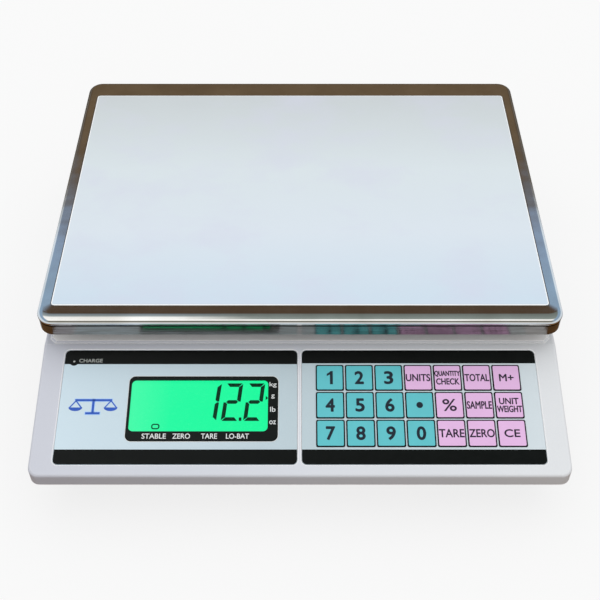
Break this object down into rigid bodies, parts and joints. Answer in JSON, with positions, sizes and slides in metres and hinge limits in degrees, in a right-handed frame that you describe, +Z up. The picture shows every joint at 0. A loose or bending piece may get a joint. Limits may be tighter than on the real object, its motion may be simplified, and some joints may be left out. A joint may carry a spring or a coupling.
{
  "type": "counting scale",
  "caption": "Bench counting scale: flat polished platter over a wedge housing with a sloped front panel that holds a lit display and a keypad.",
  "frame": {"origin": "on the surface that the feet stand on, under the middle of the whole object", "axes": "+Z up, +X to the user's right, the user stands at -Y"},
  "size_m": [0.338, 0.3416, 0.092],
  "materials": {
    "cover_plastic": "fine moulded texture, satin",
    "tray_plastic": "fine moulded texture",
    "overlay_print": "printed film, silver blue field with black bands",
    "bezel_black": "printed black",
    "clear_window": "clear",
    "lcd": "lit green",
    "backlight": "light guide",
    "lamp_lens": "clear tinted",
    "key_teal": "printed film",
    "key_pink": "printed film",
    "silicone": "matt",
    "circuit_board": "solder mask",
    "electronic_parts": "moulded",
    "battery_case": "moulded",
    "cable_sheath": "soft",
    "beam_aluminium": "milled",
    "cast_aluminium": "cast",
    "zinc_steel": "zinc plated",
    "polished_steel": "polished stainless steel",
    "film": "pale protective film",
    "rubber_pads": "matt",
    "foot_rubber": "matt",
    "vial": "clear, tinted liquid",
    "switch_black": "moulded"
  },
  "bodies": {
    "root": {"base_tray": "tray_plastic", "top_cover": "cover_plastic", "display_overlay": "overlay_print", "lcd_bezel": "bezel_black", "lcd_window": "clear_window", "lcd_glass": "lcd", "lcd_backlight": "backlight", "display_board": "circuit_board", "charge_led": "lamp_lens", "keypad_overlay": "overlay_print", "main_board": "circuit_board", "board_parts": "electronic_parts", "battery": "battery_case", "power_leads": "cable_sheath", "load_cell": "beam_aluminium", "load_cell_cable": "cable_sheath", "base_plate": "cast_aluminium", "base_plate_screws": "zinc_steel", "load_cell_base_screws": "zinc_steel", "overload_stop": "zinc_steel", "board_cables": "cable_sheath", "level_vial": "vial", "power_switch_body": "switch_black", "dc_jack": "switch_black", "housing_screws": "zinc_steel", "key_membrane": "silicone", "key_board": "circuit_board"},
    "pan_support": {"pan_support": "cast_aluminium", "pan_pads": "rubber_pads", "load_cell_top_screws": "zinc_steel"},
    "platter": {"platter": "polished_steel", "platter_film": "film"},
    "battery_door": {"battery_door": "tray_plastic"},
    "power_rocker": {"power_rocker": "switch_black"},
    "foot_front_left": {"foot_front_left": "foot_rubber"},
    "foot_front_right": {"foot_front_right": "foot_rubber"},
    "foot_back_left": {"foot_back_left": "foot_rubber"},
    "foot_back_right": {"foot_back_right": "foot_rubber"},
    "key_1": {"key_1": "key_teal"},
    "key_2": {"key_2": "key_teal"},
    "key_3": {"key_3": "key_teal"},
    "key_units": {"key_units": "key_pink"},
    "key_quantity": {"key_quantity": "key_pink"},
    "key_total": {"key_total": "key_pink"},
    "key_memory": {"key_memory": "key_pink"},
    "key_4": {"key_4": "key_teal"},
    "key_5": {"key_5": "key_teal"},
    "key_6": {"key_6": "key_teal"},
    "key_point": {"key_point": "key_teal"},
    "key_percent": {"key_percent": "key_pink"},
    "key_sample": {"key_sample": "key_pink"},
    "key_unit_weight": {"key_unit_weight": "key_pink"},
    "key_7": {"key_7": "key_teal"},
    "key_8": {"key_8": "key_teal"},
    "key_9": {"key_9": "key_teal"},
    "key_0": {"key_0": "key_teal"},
    "key_tare": {"key_tare": "key_pink"},
    "key_zero": {"key_zero": "key_pink"},
    "key_clear": {"key_clear": "key_pink"}
  },
  "joints": [
    {"name": "weighing_deflection", "type": "slide", "parent": "root", "child": "pan_support", "axis": [0, 0, -1], "range_m": [0, 0.0005], "stiffness_N_per_m": 370000, "springref_m": -0.00012, "deforming": ["load_cell"]},
    {"name": "platter_lift_off", "type": "slide", "parent": "pan_support", "child": "platter", "axis": [0, 0, 1], "range_m": [0, 0.06]},
    {"name": "battery_door_hinge", "type": "hinge", "parent": "root", "child": "battery_door", "pos_m": [0, 0.08165, 0.01025], "axis": [-1, 0, 0], "range_deg": [0, 95]},
    {"name": "power_rocker_tilt", "type": "hinge", "parent": "root", "child": "power_rocker", "pos_m": [0.118, 0.1634, 0.047], "axis": [0, 0, 1], "range_deg": [0, 16]},
    {"name": "foot_front_left_screw", "type": "slide", "parent": "root", "child": "foot_front_left", "axis": [0, 0, -1], "range_m": [-0.0015, 0.008]},
    {"name": "foot_front_right_screw", "type": "slide", "parent": "root", "child": "foot_front_right", "axis": [0, 0, -1], "range_m": [-0.0015, 0.008]},
    {"name": "foot_back_left_screw", "type": "slide", "parent": "root", "child": "foot_back_left", "axis": [0, 0, -1], "range_m": [-0.0015, 0.008]},
    {"name": "foot_back_right_screw", "type": "slide", "parent": "root", "child": "foot_back_right", "axis": [0, 0, -1], "range_m": [-0.0015, 0.008]},
    {"name": "key_1_press", "type": "slide", "parent": "root", "child": "key_1", "axis": [0, 0.2365, -0.9716], "range_m": [0, 0.00035], "stiffness_N_per_m": 4300, "springref_m": -0.0001},
    {"name": "key_2_press", "type": "slide", "parent": "root", "child": "key_2", "axis": [0, 0.2365, -0.9716], "range_m": [0, 0.00035], "stiffness_N_per_m": 4300, "springref_m": -0.0001},
    {"name": "key_3_press", "type": "slide", "parent": "root", "child": "key_3", "axis": [0, 0.2365, -0.9716], "range_m": [0, 0.00035], "stiffness_N_per_m": 4300, "springref_m": -0.0001},
    {"name": "key_units_press", "type": "slide", "parent": "root", "child": "key_units", "axis": [0, 0.2365, -0.9716], "range_m": [0, 0.00035], "stiffness_N_per_m": 4300, "springref_m": -0.0001},
    {"name": "key_quantity_press", "type": "slide", "parent": "root", "child": "key_quantity", "axis": [0, 0.2365, -0.9716], "range_m": [0, 0.00035], "stiffness_N_per_m": 4300, "springref_m": -0.0001},
    {"name": "key_total_press", "type": "slide", "parent": "root", "child": "key_total", "axis": [0, 0.2365, -0.9716], "range_m": [0, 0.00035], "stiffness_N_per_m": 4300, "springref_m": -0.0001},
    {"name": "key_memory_press", "type": "slide", "parent": "root", "child": "key_memory", "axis": [0, 0.2365, -0.9716], "range_m": [0, 0.00035], "stiffness_N_per_m": 4300, "springref_m": -0.0001},
    {"name": "key_4_press", "type": "slide", "parent": "root", "child": "key_4", "axis": [0, 0.2365, -0.9716], "range_m": [0, 0.00035], "stiffness_N_per_m": 4300, "springref_m": -0.0001},
    {"name": "key_5_press", "type": "slide", "parent": "root", "child": "key_5", "axis": [0, 0.2365, -0.9716], "range_m": [0, 0.00035], "stiffness_N_per_m": 4300, "springref_m": -0.0001},
    {"name": "key_6_press", "type": "slide", "parent": "root", "child": "key_6", "axis": [0, 0.2365, -0.9716], "range_m": [0, 0.00035], "stiffness_N_per_m": 4300, "springref_m": -0.0001},
    {"name": "key_point_press", "type": "slide", "parent": "root", "child": "key_point", "axis": [0, 0.2365, -0.9716], "range_m": [0, 0.00035], "stiffness_N_per_m": 4300, "springref_m": -0.0001},
    {"name": "key_percent_press", "type": "slide", "parent": "root", "child": "key_percent", "axis": [0, 0.2365, -0.9716], "range_m": [0, 0.00035], "stiffness_N_per_m": 4300, "springref_m": -0.0001},
    {"name": "key_sample_press", "type": "slide", "parent": "root", "child": "key_sample", "axis": [0, 0.2365, -0.9716], "range_m": [0, 0.00035], "stiffness_N_per_m": 4300, "springref_m": -0.0001},
    {"name": "key_unit_weight_press", "type": "slide", "parent": "root", "child": "key_unit_weight", "axis": [0, 0.2365, -0.9716], "range_m": [0, 0.00035], "stiffness_N_per_m": 4300, "springref_m": -0.0001},
    {"name": "key_7_press", "type": "slide", "parent": "root", "child": "key_7", "axis": [0, 0.2365, -0.9716], "range_m": [0, 0.00035], "stiffness_N_per_m": 4300, "springref_m": -0.0001},
    {"name": "key_8_press", "type": "slide", "parent": "root", "child": "key_8", "axis": [0, 0.2365, -0.9716], "range_m": [0, 0.00035], "stiffness_N_per_m": 4300, "springref_m": -0.0001},
    {"name": "key_9_press", "type": "slide", "parent": "root", "child": "key_9", "axis": [0, 0.2365, -0.9716], "range_m": [0, 0.00035], "stiffness_N_per_m": 4300, "springref_m": -0.0001},
    {"name": "key_0_press", "type": "slide", "parent": "root", "child": "key_0", "axis": [0, 0.2365, -0.9716], "range_m": [0, 0.00035], "stiffness_N_per_m": 4300, "springref_m": -0.0001},
    {"name": "key_tare_press", "type": "slide", "parent": "root", "child": "key_tare", "axis": [0, 0.2365, -0.9716], "range_m": [0, 0.00035], "stiffness_N_per_m": 4300, "springref_m": -0.0001},
    {"name": "key_zero_press", "type": "slide", "parent": "root", "child": "key_zero", "axis": [0, 0.2365, -0.9716], "range_m": [0, 0.00035], "stiffness_N_per_m": 4300, "springref_m": -0.0001},
    {"name": "key_clear_press", "type": "slide", "parent": "root", "child": "key_clear", "axis": [0, 0.2365, -0.9716], "range_m": [0, 0.00035], "stiffness_N_per_m": 4300, "springref_m": -0.0001}
  ]
}
